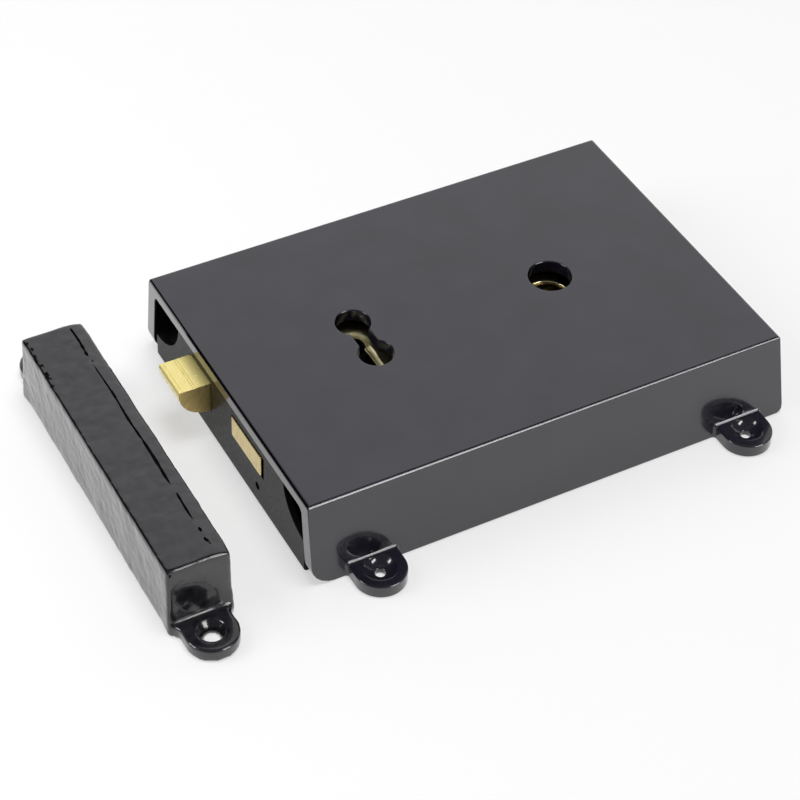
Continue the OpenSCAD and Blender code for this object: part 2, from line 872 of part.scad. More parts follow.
// The stud that the dead bolt's tail slides on, headed over to hold the tail down
module bolt_guide_stud() {
  head_z = dead_tail_top + slide_gap;
  color(steel) in_frame() translate([guide_x, dead_y, 0]) {
    stud(guide_shoulder_r, dead_z - end_play);
    translate([0, 0, plate])
      cylinder(r = guide_r, h = head_z - plate);
    translate([0, 0, head_z])
      cylinder(r = guide_shoulder_r, h = 1.2);
  }
}

// Outline of a lever's blank about its pivot: a round end and an arm
module lever_blank() {
  tip = guide_x + guide_shoulder_r + post_gap - lever_x;
  polygon(rounded([
    [lever_eye_r, -lever_eye_r, 0.9 * lever_eye_r],
    [-lever_neck, -lever_low, 4],
    [tip, -lever_low, 3],
    [tip, lever_high, 1.5],
    [-lever_shoulder, lever_high, 3],
    [lever_eye_r, lever_eye_r, 0.9 * lever_eye_r]
  ]));
}

// A lever: the blank less its pivot hole, the belly that the key lifts, the key's way in and the gate
module lever_plate() {
  key = [key_x - lever_x, key_y - dead_y];
  gate_end = lifted(stump_from_pivot - [dead_throw, 0]);
  way_floor = tail_edge - bit_gap - dead_y;
  difference() {
    linear_extrude(height = lever)
      lever_blank();
    translate([0, 0, -1]) {
      cylinder(r = pivot_r + fit, h = lever + 2);
      translate(lifted(key))
        cylinder(r = bit_reach + bit_gap, h = lever + 2);
      translate([key[0] - key_way / 2, way_floor, 0])
        cube([key_way, key[1], lever + 2]);
      linear_extrude(height = lever + 2)
        bar(stump_from_pivot, gate_end, gate_r);
      linear_extrude(height = lever + 2)
        bar(gate_end, stump_from_pivot - [dead_throw, 0], pocket_r);
    }
  }
}

module lever_1() {
  color(brass) in_frame() translate([lever_x, dead_y, lever_1_z]) lever_plate();
}

module lever_2() {
  color(brass) in_frame() translate([lever_x, dead_y, lever_2_z]) lever_plate();
}

// A leaf spring let into the lower edge of a lever, resting on its pin
module leaf_spring() {
  touch = [0, lever_spring_pin_r + leaf / 2 + end_play];
  linear_extrude(height = lever)
    difference() {
      union() {
        bar(lever_spring_root, lever_spring_bend, leaf / 2);
        bar(lever_spring_bend, lever_spring_seat + touch, leaf / 2);
      }
      lever_blank();
    }
}

module lever_spring_1() {
  color(steel) in_frame() translate([lever_x, dead_y, lever_1_z]) leaf_spring();
}

module lever_spring_2() {
  color(steel) in_frame() translate([lever_x, dead_y, lever_2_z]) leaf_spring();
}

module lever_post() {
  color(steel) in_frame() translate([lever_x, dead_y, 0]) {
    stud(guide_shoulder_r, lever_2_z - end_play);
    translate([0, 0, plate])
      cylinder(r = pivot_r, h = dead_z - end_play - plate);
  }
}

module lever_spring_pin() {
  color(steel) in_frame() translate([lever_x, dead_y, 0])
    translate(lever_spring_seat)
      stud(lever_spring_pin_r, dead_z - slide_gap);
}

// The keep: a box open to the lock and to the door frame, with a lug at each end
module keep_lug() {
  foot = keep_length / 2;
  root = foot - keep_draft - keep_wall / 2;
  difference() {
    linear_extrude(height = lug_thickness) {
      translate([0, keep_hole_y])
        circle(lug_r);
      translate([-lug_r, root])
        square([2 * lug_r, keep_hole_y - root]);
      difference() {
        translate([-lug_r - keep_shoulder / 2, root])
          square([2 * lug_r + keep_shoulder, foot + keep_shoulder - root]);
        for (side = [-1, 1])
          translate([side * (lug_r + keep_shoulder), foot + keep_shoulder])
            circle(keep_shoulder);
      }
    }
    translate([0, keep_hole_y, 0])
      sunk_hole(lug_thickness, keep_hole_r, keep_sink_r, lug_thickness - keep_hole_land);
  }
}

module keep() {
  foot = keep_length / 2;
  color(black) in_frame() translate([0, keep_y, 0]) {
    difference() {
      intersection() {
        across(2 * foot)
          polygon(rounded([
            [keep_end, 0, 0],
            [keep_mouth, 0, 0],
            [keep_mouth, keep_height - keep_drop, keep_edge_r],
            [keep_mouth - keep_slope, keep_height, keep_edge_r],
            [keep_end + keep_side_lean, keep_height, keep_edge_r]
          ]));
        along(keep_end - 1, keep_mouth + 1)
          polygon(rounded([
            [-foot, 0, 0],
            [foot, 0, 0],
            [foot - keep_draft, keep_height, keep_edge_r],
            [-foot + keep_draft, keep_height, keep_edge_r]
          ]));
      }
      block([keep_end + keep_wall, -foot + keep_draft + keep_wall, -1],
        [keep_mouth + 1, foot - keep_draft - keep_wall, keep_roof]);
    }
    translate([keep_middle, 0, 0])
      keep_lug();
    translate([keep_middle, 0, 0])
      mirror([0, 1, 0])
        keep_lug();
  }
}

case();
chassis();
case_screws();
cover_plate();
cover_pillars();
cover_screws();
latch_bolt();
latch_tail();
latch_rivets();
spring_rod();
latch_spring();
spring_stop();
spring_stop_rivets();
follower();
dead_bolt();
dead_bolt_stump();
bolt_guide_stud();
lever_1();
lever_2();
lever_spring_1();
lever_spring_2();
lever_post();
lever_spring_pin();
keep();
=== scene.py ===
# %% [markdown]
# # A black rim box lock and its keep
# The real object is an iron box lock that is screwed to the face of a door, with a separate
# box, the keep, for the frame. Both are castings dipped in glossy black enamel. Two brass bolts
# show at the forend, and more brass shows through the keyhole and the spindle hole.
# The measured solids come from the frame. This lesson softens the castings, gives every piece
# its finish, and sets up the floor, the light and the camera.

# %% Load the frame
import json
import math

import bmesh
import bpy
import mathutils
from mathutils import Matrix, Vector
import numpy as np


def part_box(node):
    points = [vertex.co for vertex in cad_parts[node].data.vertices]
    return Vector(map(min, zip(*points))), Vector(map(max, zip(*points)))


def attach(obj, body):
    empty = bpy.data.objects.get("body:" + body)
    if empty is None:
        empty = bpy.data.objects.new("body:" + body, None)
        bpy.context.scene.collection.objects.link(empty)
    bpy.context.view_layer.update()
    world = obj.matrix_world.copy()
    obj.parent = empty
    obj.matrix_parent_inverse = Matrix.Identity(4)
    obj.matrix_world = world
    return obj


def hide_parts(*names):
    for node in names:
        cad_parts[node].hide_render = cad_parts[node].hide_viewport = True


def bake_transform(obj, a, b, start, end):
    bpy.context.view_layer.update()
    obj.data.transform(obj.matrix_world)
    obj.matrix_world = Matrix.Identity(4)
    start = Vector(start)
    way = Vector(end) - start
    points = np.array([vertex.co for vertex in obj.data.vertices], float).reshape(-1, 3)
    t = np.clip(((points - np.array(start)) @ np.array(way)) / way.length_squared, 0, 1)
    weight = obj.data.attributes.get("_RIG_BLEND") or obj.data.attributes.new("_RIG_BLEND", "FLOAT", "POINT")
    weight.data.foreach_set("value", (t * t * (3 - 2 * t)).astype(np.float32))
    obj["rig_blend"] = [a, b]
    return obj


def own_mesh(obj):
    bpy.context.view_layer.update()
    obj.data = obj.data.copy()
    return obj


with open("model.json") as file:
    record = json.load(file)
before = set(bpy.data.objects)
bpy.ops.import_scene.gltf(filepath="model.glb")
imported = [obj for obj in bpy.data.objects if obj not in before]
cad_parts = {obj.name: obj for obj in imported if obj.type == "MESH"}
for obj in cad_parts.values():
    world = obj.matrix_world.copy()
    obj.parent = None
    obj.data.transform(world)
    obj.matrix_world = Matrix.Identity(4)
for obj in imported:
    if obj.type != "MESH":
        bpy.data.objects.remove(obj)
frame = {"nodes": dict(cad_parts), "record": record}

nodes = frame["nodes"]
mounts = {mount["name"]: mount for mount in frame["record"]["mounts"]}
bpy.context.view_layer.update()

# %% [markdown]
# ## The camera
# The picture was taken from the front left and well above, with a long lens. A camera can be set
# by eye, or fitted to the edges of the box and to the round hole. The fitted values are used
# here, because then every later difference is a difference of the object and not of the view.

# %% Camera
aim = Vector((-0.0150, -0.0260, 0.0280))
azimuth, elevation, roll = math.radians(-30.17), math.radians(43.83), math.radians(2.63)
distance = 0.652
back = Vector((
    math.sin(azimuth) * math.cos(elevation),
    -math.cos(azimuth) * math.cos(elevation),
    math.sin(elevation),
))
level_right = Vector((0, 0, 1)).cross(back).normalized()
level_up = back.cross(level_right)
right = math.cos(roll) * level_right + math.sin(roll) * level_up
up = math.cos(roll) * level_up - math.sin(roll) * level_right
bpy.ops.object.camera_add()
camera = bpy.context.object
camera.data.lens = 105.93
camera.data.sensor_width = 36
camera.data.clip_start = 0.01
turned = Matrix((right, up, back)).transposed().to_4x4()
camera.matrix_world = Matrix.Translation(aim + back * distance) @ turned
bpy.context.scene.camera = camera
print("camera stands at", [round(v, 3) for v in camera.matrix_world.translation])

# %% [markdown]
# ## Floor and light
# The lock lies on a white table under broad, soft light. The world is pale behind the lock and
# dim in front, as with a white sheet hung behind the table, so the enamel has something pale to
# mirror. Three panels in front and at the side give the white lines and glints on the edges,
# and two wide lamps light the table. The floor shines a little by itself where the camera or a
# glossy face sees it, so it comes out white and still keeps the soft shadows.

# %% Floor
def only(piece):
    """Selects one object alone and makes it the active one."""
    if bpy.context.mode != "OBJECT":
        bpy.ops.object.mode_set(mode="OBJECT")
    bpy.ops.object.select_all(action="DESELECT")
    piece.select_set(True)
    bpy.context.view_layer.objects.active = piece


bpy.ops.object.select_all(action="DESELECT")
floor_drop = 0.0002
bpy.ops.mesh.primitive_plane_add(size=6, location=(0, 0, -floor_drop))
floor = bpy.context.object
floor.name = "floor"
print("floor:", floor.name, "at", -floor_drop * 1000, "mm")

# %% Table finish
own_light = 0.5
table_white = bpy.data.materials.new("table_white")
table_white.use_nodes = True
tree = table_white.node_tree
paper = tree.nodes["Principled BSDF"]
paper.inputs["Base Color"].default_value = (0.96, 0.96, 0.96, 1)
paper.inputs["Roughness"].default_value = 0.8
paper.inputs["Specular IOR Level"].default_value = 0.1
bright = tree.nodes.new("ShaderNodeEmission")
path = tree.nodes.new("ShaderNodeLightPath")
seen = tree.nodes.new("ShaderNodeMath")
seen.operation = "MAXIMUM"
tree.links.new(path.outputs["Is Camera Ray"], seen.inputs[0])
tree.links.new(path.outputs["Is Glossy Ray"], seen.inputs[1])
seen_too = tree.nodes.new("ShaderNodeMath")
seen_too.operation = "MAXIMUM"
tree.links.new(seen.outputs[0], seen_too.inputs[0])
tree.links.new(path.outputs["Is Transmission Ray"], seen_too.inputs[1])
share = tree.nodes.new("ShaderNodeMath")
share.operation = "MULTIPLY"
share.inputs[1].default_value = own_light
tree.links.new(seen_too.outputs[0], share.inputs[0])
mix = tree.nodes.new("ShaderNodeMixShader")
tree.links.new(share.outputs[0], mix.inputs[0])
tree.links.new(paper.outputs[0], mix.inputs[1])
tree.links.new(bright.outputs[0], mix.inputs[2])
tree.links.new(mix.outputs[0], tree.nodes["Material Output"].inputs["Surface"])
floor.data.materials.append(table_white)
print("table:", table_white.name)

# %% World
toward_sheet = (0.45, 0.85, 0)
sheet_edge_low, sheet_edge_high = 0.36, 0.50
dim_light, pale_light = 0.14, 0.84
world = bpy.data.worlds.new("studio")
bpy.context.scene.world = world
world.use_nodes = True
tree = world.node_tree
tree.nodes["Background"].inputs["Color"].default_value = (1, 1, 1, 1)
sheet = tree.nodes.new("ShaderNodeVectorMath")
sheet.operation = "DOT_PRODUCT"
sheet.inputs[1].default_value = toward_sheet
tree.links.new(tree.nodes.new("ShaderNodeTexCoord").outputs["Generated"], sheet.inputs[0])
pale = tree.nodes.new("ShaderNodeMapRange")
pale.interpolation_type = "SMOOTHSTEP"
pale.inputs["From Min"].default_value = sheet_edge_low
pale.inputs["From Max"].default_value = sheet_edge_high
pale.inputs["To Min"].default_value = dim_light
pale.inputs["To Max"].default_value = pale_light
tree.links.new(sheet.outputs["Value"], pale.inputs["Value"])
path = tree.nodes.new("ShaderNodeLightPath")
white_far_off = tree.nodes.new("ShaderNodeMath")
white_far_off.operation = "MAXIMUM"
tree.links.new(pale.outputs["Result"], white_far_off.inputs[0])
tree.links.new(path.outputs["Is Camera Ray"], white_far_off.inputs[1])
tree.links.new(white_far_off.outputs[0], tree.nodes["Background"].inputs["Strength"])
print("world:", world.name, "from", dim_light, "to", pale_light)

# %% Lamps
def soft_lamp(name, toward, reach, width, height, glow, mirrored):
    """A flat lamp that shines on the lock from a direction, with a glow of 1 for a white card.

    A mirrored lamp shows in glossy faces alone, and any other lamp in dull faces alone.
    """
    place = Vector(toward).normalized() * reach
    bpy.ops.object.light_add(type="AREA", location=place)
    lamp = bpy.context.object
    lamp.name = name
    lamp.data.shape = "RECTANGLE"
    lamp.data.size = width
    lamp.data.size_y = height
    lamp.data.energy = glow * math.pi * width * height
    lamp.rotation_euler = place.to_track_quat("Z", "Y").to_euler()
    lamp.visible_diffuse = not mirrored
    lamp.visible_glossy = mirrored


soft_lamp("front_panel_low", (0.42, -0.86, 0.24), 1.5, width=0.8, height=0.45, glow=10, mirrored=True)
soft_lamp("front_panel_high", (0.36, -0.66, 0.68), 1.5, width=0.7, height=0.26, glow=11, mirrored=True)
soft_lamp("side_panel", (-0.81, 0.12, 0.57), 1.2, width=0.4, height=0.4, glow=10, mirrored=True)
soft_lamp("top_lamp", (0.05, -0.1, 1.0), 1.6, width=0.7, height=0.7, glow=9, mirrored=False)
soft_lamp("left_lamp", (-0.75, 0.25, 0.6), 0.9, width=0.6, height=0.6, glow=3, mirrored=False)
bpy.context.scene.view_settings.view_transform = "Standard"

# %% [markdown]
# ## Finishes
# Each finish is built from noise on the piece's own coordinates, so it stays with the piece from
# every side. A finish helper starts each one with a shader, and small helpers add the noise,
# a range for it and the bumps.

# %% Finish helpers
def start_finish(name):
    """A new material with its node tree, its shader and its object coordinates."""
    finish = bpy.data.materials.new(name)
    finish.use_nodes = True
    tree = finish.node_tree
    shader = tree.nodes["Principled BSDF"]
    place = tree.nodes.new("ShaderNodeTexCoord").outputs["Object"]
    return finish, tree, shader, place


def stretched(tree, place, scale):
    """Coordinates drawn out or squeezed along the axes."""
    mapping = tree.nodes.new("ShaderNodeMapping")
    mapping.inputs["Scale"].default_value = scale
    tree.links.new(place, mapping.inputs["Vector"])
    return mapping.outputs["Vector"]


def noise(tree, place, scale, detail=2.0):
    """Soft noise with this many waves to the metre."""
    node = tree.nodes.new("ShaderNodeTexNoise")
    node.inputs["Scale"].default_value = scale
    node.inputs["Detail"].default_value = detail
    tree.links.new(place, node.inputs["Vector"])
    return node.outputs["Fac"]


def ranged(tree, value, low, high, to_low, to_high):
    """Maps a value from one range into another."""
    node = tree.nodes.new("ShaderNodeMapRange")
    for name, number in (("From Min", low), ("From Max", high), ("To Min", to_low), ("To Max", to_high)):
        node.inputs[name].default_value = number
    tree.links.new(value, node.inputs["Value"])
    return node.outputs["Result"]


def shades(tree, value, dark, light):
    """A colour between two shades."""
    node = tree.nodes.new("ShaderNodeMix")
    node.data_type = "RGBA"
    node.inputs[6].default_value = (*dark, 1)
    node.inputs[7].default_value = (*light, 1)
    tree.links.new(value, node.inputs[0])
    return node.outputs[2]


def bumped(tree, height, depth, under=None):
    """A bump of a depth in metres, laid over another bump where one is given."""
    node = tree.nodes.new("ShaderNodeBump")
    node.inputs["Strength"].default_value = 1.0
    node.inputs["Distance"].default_value = depth
    tree.links.new(height, node.inputs["Height"])
    if under is not None:
        tree.links.new(under, node.inputs["Normal"])
    return node.outputs["Normal"]


print("finish helpers:", [helper.__name__ for helper in (stretched, noise, ranged, shades, bumped)])

# %% [markdown]
# ### Black enamel
# The castings are black and mirror-like, but not flat: the enamel pools a little over the iron,
# and small pits show through. A clear coat over a black base gives the deep gloss. A slow noise
# makes the waves, and the spots of a cell pattern make the pits.

# %% Black enamel
def black_enamel(name, wave_depth, pit_depth, coat, clouds, dark, light):
    """Glossy black with slow waves, small pits and faint clouds, this many to the metre."""
    finish, tree, shader, place = start_finish(name)
    cloudy = ranged(tree, noise(tree, place, clouds, 4), 0.35, 0.65, 0.0, 1.0)
    tree.links.new(shades(tree, cloudy, dark, light), shader.inputs["Base Color"])
    gloss = ranged(tree, noise(tree, place, 260, 4), 0.3, 0.7, 0.14, 0.24)
    tree.links.new(gloss, shader.inputs["Roughness"])
    waves = bumped(tree, noise(tree, place, 110, 1), wave_depth)
    cells = tree.nodes.new("ShaderNodeTexVoronoi")
    cells.inputs["Scale"].default_value = 52
    tree.links.new(place, cells.inputs["Vector"])
    pits = ranged(tree, cells.outputs["Distance"], 0.0, 0.035, 0.0, 1.0)
    surface = bumped(tree, pits, pit_depth, waves)
    tree.links.new(surface, shader.inputs["Normal"])
    tree.links.new(surface, shader.inputs["Coat Normal"])
    shader.inputs["IOR"].default_value = 1.5
    shader.inputs["Coat Weight"].default_value = coat
    shader.inputs["Coat Roughness"].default_value = 0.06
    shader.inputs["Coat IOR"].default_value = 1.5
    return finish


case_enamel = black_enamel(
    "case_enamel", wave_depth=0.00003, pit_depth=0.0001, coat=0.75, clouds=70,
    dark=(0.009, 0.0085, 0.016), light=(0.015, 0.014, 0.024),
)
keep_enamel = black_enamel(
    "keep_enamel", wave_depth=0.00012, pit_depth=0.0001, coat=0.6, clouds=330,
    dark=(0.005, 0.005, 0.008), light=(0.018, 0.017, 0.022),
)
print("enamels:", case_enamel.name, keep_enamel.name)

# %% [markdown]
# ### Satin black
# The chassis is bent from sheet and painted thinly, so it is duller than the castings and shows
# the fine grain of the sheet.

# %% Satin black
satin_black, tree, shader, place = start_finish("satin_black")
tone = shades(tree, noise(tree, place, 180, 4), (0.006, 0.006, 0.007), (0.012, 0.012, 0.013))
tree.links.new(tone, shader.inputs["Base Color"])
gloss = ranged(tree, noise(tree, place, 700, 3), 0.3, 0.7, 0.26, 0.36)
tree.links.new(gloss, shader.inputs["Roughness"])
tree.links.new(bumped(tree, noise(tree, place, 900, 2), 0.000004), shader.inputs["Normal"])
shader.inputs["Specular IOR Level"].default_value = 0.08
print("paint:", satin_black.name)

# %% [markdown]
# ### Brushed brass
# The bolts are sawn and rubbed brass with fine lines along one way. Noise that is squeezed across
# the lines and drawn out along them makes both the colour and the bump. The latch is rubbed
# brightest. Its sawn end has slanting lines and is darkened as painted shade, the flat of the inner
# plate and the follower are darkened as painted shade, and the inner keyhole's rim gets a painted highlight.

# %% Brushed brass
def brushed_brass(name, lines, rough, metal, dull, bright, slant=0):
    """Brass with this many lines to the metre along each axis, slanted by some degrees."""
    finish, tree, shader, place = start_finish(name)
    turned = tree.nodes.new("ShaderNodeVectorRotate")
    turned.rotation_type = "Y_AXIS"
    turned.inputs["Angle"].default_value = math.radians(slant)
    tree.links.new(place, turned.inputs["Vector"])
    grain = noise(tree, stretched(tree, turned.outputs["Vector"], lines), 1.0, 5)
    tone = shades(tree, ranged(tree, grain, 0.3, 0.7, 0.0, 1.0), dull, bright)
    tree.links.new(tone, shader.inputs["Base Color"])
    shader.inputs["Metallic"].default_value = metal
    gloss = ranged(tree, noise(tree, place, 400, 3), 0.3, 0.7, rough, rough + 0.08)
    tree.links.new(gloss, shader.inputs["Roughness"])
    tree.links.new(bumped(tree, grain, 0.00001), shader.inputs["Normal"])
    return finish


latch_brass = brushed_brass(
    "latch_brass", lines=(2500, 300, 2500), rough=0.20, metal=0.5,
    dull=(0.96, 0.78, 0.285), bright=(1.0, 0.90, 0.39),
)
# The sawn ends keep their slanting lines but get a darker colour, a painted shade.
sawn_shade_brass = brushed_brass(
    "sawn_shade_brass", lines=(2200, 400, 250), rough=0.36, metal=1.0,
    dull=(0.44, 0.33, 0.13), bright=(0.68, 0.53, 0.22), slant=-40,
)
bolt_brass = brushed_brass(
    "bolt_brass", lines=(2500, 2500, 300), rough=0.18, metal=1.0,
    dull=(0.58, 0.45, 0.18), bright=(0.74, 0.60, 0.27),
)
print("brass outside:", latch_brass.name, sawn_shade_brass.name, bolt_brass.name)

# %% Brass inside
plate_lines = (250, 1800, 1800)
# Painted shade: a darkened brass for the flat of the plate round the follower, which lies in shade under the
# front face.
painted_shade_brass = brushed_brass(
    "painted_shade_brass", lines=plate_lines, rough=0.20, metal=1.0,
    dull=(0.10, 0.08, 0.05), bright=(0.16, 0.13, 0.08),
)
plate_brass = brushed_brass(
    "plate_brass", lines=plate_lines, rough=0.18, metal=0.94,
    dull=(0.92, 0.82, 0.50), bright=(1.0, 0.93, 0.62),
)
# Painted highlight: a brighter, partly dull brass for the rolled rim of the inner keyhole.
painted_highlight_brass = brushed_brass(
    "painted_highlight_brass", lines=plate_lines, rough=0.12, metal=0.75,
    dull=(0.95, 0.82, 0.44), bright=(1.0, 0.93, 0.56),
)
# Painted shade: the follower's brass is darkened, as it lies deep inside the box.
follower_shade_brass = brushed_brass(
    "follower_shade_brass", lines=(600, 600, 600), rough=0.25, metal=1.0,
    dull=(0.22, 0.16, 0.07), bright=(0.36, 0.28, 0.13),
)
print("brass inside:", painted_shade_brass.name, plate_brass.name, painted_highlight_brass.name, follower_shade_brass.name)

# %% [markdown]
# ### Plain steel
# Screws, rivets, springs and studs are plain turned steel, with a faint cloudiness.

# %% Plain steel
plain_steel, tree, shader, place = start_finish("plain_steel")
tone = shades(tree, noise(tree, place, 350, 3), (0.36, 0.37, 0.38), (0.52, 0.53, 0.55))
tree.links.new(tone, shader.inputs["Base Color"])
shader.inputs["Metallic"].default_value = 1.0
gloss = ranged(tree, noise(tree, place, 900, 2), 0.3, 0.7, 0.26, 0.42)
tree.links.new(gloss, shader.inputs["Roughness"])
tree.links.new(bumped(tree, noise(tree, place, 2500, 2), 0.000008), shader.inputs["Normal"])

slot_finish = {
    "black_enamel": case_enamel,
    "black_steel": satin_black,
    "brass": plate_brass,
    "steel": plain_steel,
}
for part in frame["record"]["subparts"]:
    mesh = nodes[part["node"]].data
    mesh.materials.clear()
    mesh.materials.append(slot_finish[part["material_slot"]])

# %% [markdown]
# ## The case
# On the real casting no edge is sharp: the enamel rounds every corner and fills every root. The
# solid already has the shape, so a copy of it is welded, its flat triangles are dissolved into
# whole faces, and a bevel rounds the edges. The enamel pools at the roots of the lugs, so those
# are rounded wide, and the rims of the holes only a little. It also fills the bottoms of the
# screw sinks, so a ball cut out of each lug turns the straight cone into a dish. Where a wide and a
# narrow bevel meet at a corner, a point is lifted, and it is set down level with the front face.

# %% Welding and modifiers
weld_within = 0.000002
flat_within = math.radians(1)


def welded_copy(node, name):
    """A new object with its own mesh, made from the loose triangles of a solid."""
    piece = bpy.data.objects.new(name, nodes[node].data.copy())
    bpy.context.scene.collection.objects.link(piece)
    only(piece)
    bpy.ops.object.mode_set(mode="EDIT")
    bpy.ops.mesh.select_all(action="SELECT")
    bpy.ops.mesh.remove_doubles(threshold=weld_within)
    bpy.ops.mesh.dissolve_limited(angle_limit=flat_within)
    bpy.ops.object.mode_set(mode="OBJECT")
    return piece


def modified(piece, kind, **settings):
    """Adds a modifier to a piece, sets it and applies it."""
    only(piece)
    bpy.ops.object.modifier_add(type=kind)
    modifier = piece.modifiers[-1]
    for name, value in settings.items():
        setattr(modifier, name, value)
    bpy.ops.object.modifier_apply(modifier=modifier.name)


print("points are welded within", weld_within * 1000, "mm")

# %% Rounding the edges
sharp_edge = math.radians(32)
smooth_under = math.radians(35)


def rounded_edges(piece, rings, width, special=()):
    """Rounds every sharp edge of a piece, special edges to their own width, and shades it smooth."""
    widest = max([width] + [own for own, _ in special])
    only(piece)
    bpy.ops.object.mode_set(mode="EDIT")
    bpy.ops.mesh.select_mode(type="EDGE")
    for own, wanted in [(width, lambda edge: True), *special]:
        bpy.ops.mesh.select_all(action="DESELECT")
        bpy.ops.mesh.edges_select_sharp(sharpness=sharp_edge)
        cage = bmesh.from_edit_mesh(piece.data)
        layers = cage.edges.layers.float
        weights = layers.get("bevel_weight_edge") or layers.new("bevel_weight_edge")
        for edge in cage.edges:
            if edge.select and wanted(edge):
                edge[weights] = own / widest
        bmesh.update_edit_mesh(piece.data)
    bpy.ops.object.mode_set(mode="OBJECT")
    modified(
        piece, "BEVEL", width=widest, segments=rings, limit_method="WEIGHT",
        use_clamp_overlap=False, loop_slide=False, harden_normals=False, miter_outer="MITER_ARC",
    )
    only(piece)
    bpy.ops.object.shade_smooth_by_angle(angle=smooth_under)
    modified(piece, "WEIGHTED_NORMAL", keep_sharp=True)


print("edges are rounded over", round(math.degrees(sharp_edge)), "degrees")

# %% Dishes and places
lug_top = 0.004


def dished(piece, hole, rim, depth):
    """Cuts a dish into the top of a lug, from the rim of its screw sink down to a depth."""
    ball = (rim * rim + depth * depth) / (2 * depth)
    bpy.ops.object.select_all(action="DESELECT")
    bpy.ops.mesh.primitive_uv_sphere_add(
        segments=64, ring_count=48, radius=ball, location=(hole.x, hole.y, lug_top - depth + ball)
    )
    cutter = bpy.context.object
    only(cutter)
    bpy.ops.object.transform_apply(location=True, rotation=True, scale=True)
    modified(piece, "BOOLEAN", operation="DIFFERENCE", solver="EXACT", object=cutter)
    only(cutter)
    bpy.ops.object.delete()


def set_in_place(piece, node, body, finish):
    """Gives a piece its finish and lets it stand for a solid."""
    piece.data.materials.clear()
    piece.data.materials.append(finish)
    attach(piece, body)
    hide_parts(node)
    print(piece.name, "faces:", len(piece.data.polygons))


print("lugs are", lug_top * 1000, "mm thick")

# %% Which edges of the case
case_low, case_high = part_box("case")
case_holes = Vector(mounts["case_screw_holes"]["pos_m"])
half_along = mounts["case_screw_holes"]["dims"]["spacing_x_mm"] / 2000
half_across = mounts["case_screw_holes"]["dims"]["spacing_y_mm"] / 2000
near = 0.0001
lugs_from = 0.053
lugs_under = 0.006
rim_back = 0.002
corner_height = 0.0012
hole_reach = 0.002


def on_lug(edge):
    """True for the edges of the lugs above the foot."""
    return all(abs(v.co.y) > lugs_from and near < v.co.z < lugs_under for v in edge.verts)


def lug_root(edge):
    """True for the hollow edges where a lug grows out of a side wall."""
    return edge.calc_face_angle_signed() < 0 and all(abs(v.co.y) > lugs_from for v in edge.verts)


def hole_rim(edge):
    """True for the rims of the keyhole and the spindle hole in the front face."""
    return all(v.co.z > case_high.z - near and v.co.x > case_low.x + rim_back for v in edge.verts)


def forend_corner(edge):
    """True for the sharp edges at the two upper corners of the rim above the forend."""
    return all(v.co.x < case_low.x + near and v.co.z > case_high.z - corner_height for v in edge.verts)


def screw_hole(edge):
    """True for the edge between the sink and the hole of a case lug."""
    middle = (edge.verts[0].co + edge.verts[1].co) / 2 - case_holes
    return math.hypot(abs(middle.x) - half_along, abs(middle.y) - half_across) < hole_reach


print("case in mm:", [round(v * 1000, 1) for v in case_high - case_low])

# %% Case
case_sink_rim, case_sink_depth = 0.0047, 0.0025
case_casting = welded_copy("case", "case_casting")
for side_x in (-1, 1):
    for side_y in (-1, 1):
        lug = case_holes + Vector((side_x * half_along, side_y * half_across, 0))
        dished(case_casting, lug, case_sink_rim, case_sink_depth)
rounded_edges(case_casting, rings=3, width=0.00022, special=[
    (0.0004, hole_rim), (0.0005, forend_corner), (0.0004, on_lug), (0.0001, screw_hole), (0.0009, lug_root),
])
for v in case_casting.data.vertices:
    v.co.z = min(v.co.z, case_high.z)
set_in_place(case_casting, "case", "lock", case_enamel)

# %% [markdown]
# ## The keep
# The keep is the roughest casting of the set: its faces are lumpy and its edges thick with
# enamel. Remeshing a copy of the solid into a fine even skin, smoothing it and pushing it in with
# a slow noise gives that look, which a bevel can't. The box is smoothed more than the lugs, the
# roots of the lugs a little more, and the two corners beside the mouth most of all. A finer noise
# wrinkles the top and the sides, and less of it the two ends. A vertex group says how much each
# point takes of every step.

# %% Where the keep is smoothed
keep_low, keep_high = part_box("keep")
lug_length = 0.0139
root_inset, inward_fade = 0.001, 0.004
root_height, upward_fade = 0.0055, 0.003
end_share, end_fade = 0.4, 0.003
corner_core, corner_fade = 1.6, 0.004
root_core, root_fade = 2.0, 0.0009


def grouped(piece, name, share):
    """A vertex group in which each point has the share that a rule gives it."""
    group = piece.vertex_groups.new(name=name)
    for v in piece.data.vertices:
        group.add([v.index], share(v.co), "REPLACE")
    return name


def limited(share):
    """A share kept between 0 and 1."""
    return max(0.0, min(1.0, share))


def from_end(co):
    """How far a point lies inside the nearer end wall of the box."""
    return min(co.y - keep_low.y, keep_high.y - co.y) - lug_length


def in_box(co):
    """1 for the box of the keep and 0 for its lugs and their roots."""
    inward = (from_end(co) - root_inset) / inward_fade
    upward = (co.z - root_height) / upward_fade
    return limited(max(inward, upward))


def on_skin(co):
    """The share of the box, less at its two ends, which are smoother."""
    return in_box(co) * max(end_share, limited(from_end(co) / end_fade))


def by_mouth_corner(co):
    """1 near the two upright corners beside the mouth, and less farther off."""
    return limited(corner_core - math.hypot(from_end(co), co.x - keep_high.x) / corner_fade)


def by_lug_root(co):
    """1 where a lug grows out of the box, less farther off."""
    return limited(root_core - math.hypot(from_end(co), co.z - lug_top) / root_fade)


print("keep in mm:", [round(v * 1000, 1) for v in keep_high - keep_low])

